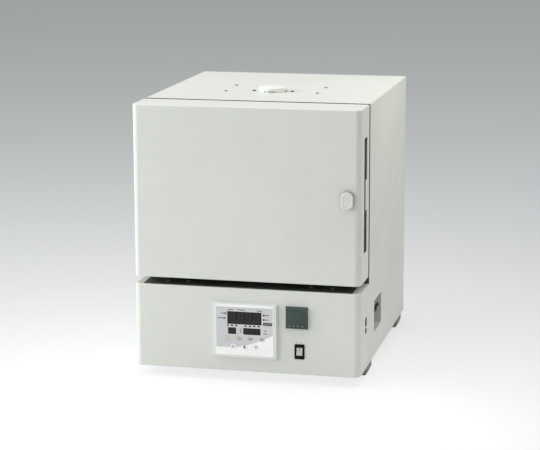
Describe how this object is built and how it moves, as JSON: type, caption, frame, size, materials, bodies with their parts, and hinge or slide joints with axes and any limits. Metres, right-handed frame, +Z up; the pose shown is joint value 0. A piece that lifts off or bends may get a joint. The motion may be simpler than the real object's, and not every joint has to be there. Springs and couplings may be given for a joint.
{
  "type": "electric furnace",
  "caption": "Bench-top electric muffle furnace: insulated chamber behind a deep hinged door, control box below it, exhaust port on top, on four rubber feet.",
  "frame": {"origin": "on the floor, under the middle of the whole object's box, which includes the hinges, the knob and the cable gland", "axes": "+Z up, -Y out of the front (the door), +X to the right seen from the front"},
  "size_m": [0.5038, 0.6164, 0.5993],
  "materials": {
    "paint": "satin",
    "frame_enamel": "satin",
    "galvanised": "satin",
    "stainless": "satin",
    "hinge_steel": "satin",
    "screw_steel": "satin",
    "fibre": "matte",
    "heater_ceramic": "matte",
    "heater_wire": "matte",
    "hearth": "matte",
    "foot_rubber": "matte",
    "controller_plastic": "satin",
    "controller_print": "satin",
    "window_dark": "gloss",
    "key_pad": "satin",
    "limit_plastic": "satin",
    "limit_key": "matte",
    "black_plastic": "satin",
    "rocker_plastic": "gloss",
    "recess_paint": "satin",
    "breaker_plastic": "satin",
    "sink_metal": "satin",
    "relay_plastic": "satin"
  },
  "bodies": {
    "case": {"case_cover": "paint", "rear_panel": "paint", "front_cover": "paint", "base_pan": "galvanised", "deck": "galvanised", "furnace_shell": "galvanised", "roof_shield": "galvanised", "front_frame": "frame_enamel", "latch_keeper": "stainless", "exhaust_collar": "stainless", "hinge_leaf_case": "hinge_steel", "hinge_pins": "hinge_steel", "heater_terminals": "hinge_steel", "case_screws": "screw_steel", "foot_screws": "screw_steel", "insulation_walls": "fibre", "insulation_roof": "fibre", "insulation_floor": "fibre", "insulation_back": "fibre", "heater_rods": "heater_ceramic", "exhaust_tube": "heater_ceramic", "thermocouple": "heater_ceramic", "heater_coils": "heater_wire", "hearth_plate": "hearth", "feet": "foot_rubber", "controller_housing": "controller_plastic", "controller_face": "controller_print", "display_windows": "window_dark", "limit_controller": "limit_plastic", "switch_frame": "black_plastic", "side_plugs": "black_plastic", "cable_gland": "black_plastic", "breaker_recess": "recess_paint", "breaker_body": "breaker_plastic", "heat_sink": "sink_metal", "solid_state_relay": "relay_plastic"},
    "door": {"door_skin": "paint", "door_liner": "stainless", "door_insulation": "fibre", "door_plug": "fibre", "door_gasket": "fibre", "hinge_leaf_door": "hinge_steel", "door_screws": "screw_steel"},
    "latch": {"latch_knob": "paint", "latch_spindle": "hinge_steel", "latch_cam": "hinge_steel"},
    "exhaust_cap": {"exhaust_cap": "paint"},
    "power_rocker": {"power_rocker": "rocker_plastic"},
    "breaker_lever": {"breaker_lever": "black_plastic"},
    "key_1": {"key_1": "key_pad"},
    "key_2": {"key_2": "key_pad"},
    "key_3": {"key_3": "key_pad"},
    "key_4": {"key_4": "key_pad"},
    "key_5": {"key_5": "key_pad"},
    "key_6": {"key_6": "key_pad"},
    "key_7": {"key_7": "key_pad"},
    "limit_key_1": {"limit_key_1": "limit_key"},
    "limit_key_2": {"limit_key_2": "limit_key"},
    "limit_key_3": {"limit_key_3": "limit_key"},
    "limit_key_4": {"limit_key_4": "limit_key"}
  },
  "joints": [
    {"name": "door_swing", "type": "hinge", "parent": "case", "child": "door", "pos_m": [-0.2459, -0.2023, 0.4025], "axis": [0, 0, -1], "range_deg": [0, 160]},
    {"name": "latch_turn", "type": "hinge", "parent": "door", "child": "latch", "pos_m": [0.2231, -0.2978, 0.4002], "axis": [0, 1, 0], "range_deg": [0, 90]},
    {"name": "exhaust_turn", "type": "hinge", "parent": "case", "child": "exhaust_cap", "pos_m": [0.0061, -0.0358, 0.587], "axis": [0, 0, 1], "range_deg": [0, 45]},
    {"name": "power_press", "type": "hinge", "parent": "case", "child": "power_rocker", "pos_m": [0.1216, -0.2948, 0.0722], "axis": [1, 0, 0], "range_deg": [0, 20]},
    {"name": "breaker_trip", "type": "hinge", "parent": "case", "child": "breaker_lever", "pos_m": [0.2361, -0.0843, 0.1124], "axis": [0, 1, 0], "range_deg": [0, 96]},
    {"name": "key_1_press", "type": "slide", "parent": "case", "child": "key_1", "axis": [0, 1, 0], "range_m": [0, 0.0004], "stiffness_N_per_m": 400},
    {"name": "key_2_press", "type": "slide", "parent": "case", "child": "key_2", "axis": [0, 1, 0], "range_m": [0, 0.0004], "stiffness_N_per_m": 400},
    {"name": "key_3_press", "type": "slide", "parent": "case", "child": "key_3", "axis": [0, 1, 0], "range_m": [0, 0.0004], "stiffness_N_per_m": 400},
    {"name": "key_4_press", "type": "slide", "parent": "case", "child": "key_4", "axis": [0, 1, 0], "range_m": [0, 0.0004], "stiffness_N_per_m": 400},
    {"name": "key_5_press", "type": "slide", "parent": "case", "child": "key_5", "axis": [0, 1, 0], "range_m": [0, 0.0004], "stiffness_N_per_m": 400},
    {"name": "key_6_press", "type": "slide", "parent": "case", "child": "key_6", "axis": [0, 1, 0], "range_m": [0, 0.0004], "stiffness_N_per_m": 400},
    {"name": "key_7_press", "type": "slide", "parent": "case", "child": "key_7", "axis": [0, 1, 0], "range_m": [0, 0.0004], "stiffness_N_per_m": 400},
    {"name": "limit_key_1_press", "type": "slide", "parent": "case", "child": "limit_key_1", "axis": [0, 1, 0], "range_m": [0, 0.0006], "stiffness_N_per_m": 400},
    {"name": "limit_key_2_press", "type": "slide", "parent": "case", "child": "limit_key_2", "axis": [0, 1, 0], "range_m": [0, 0.0006], "stiffness_N_per_m": 400},
    {"name": "limit_key_3_press", "type": "slide", "parent": "case", "child": "limit_key_3", "axis": [0, 1, 0], "range_m": [0, 0.0006], "stiffness_N_per_m": 400},
    {"name": "limit_key_4_press", "type": "slide", "parent": "case", "child": "limit_key_4", "axis": [0, 1, 0], "range_m": [0, 0.0006], "stiffness_N_per_m": 400}
  ]
}
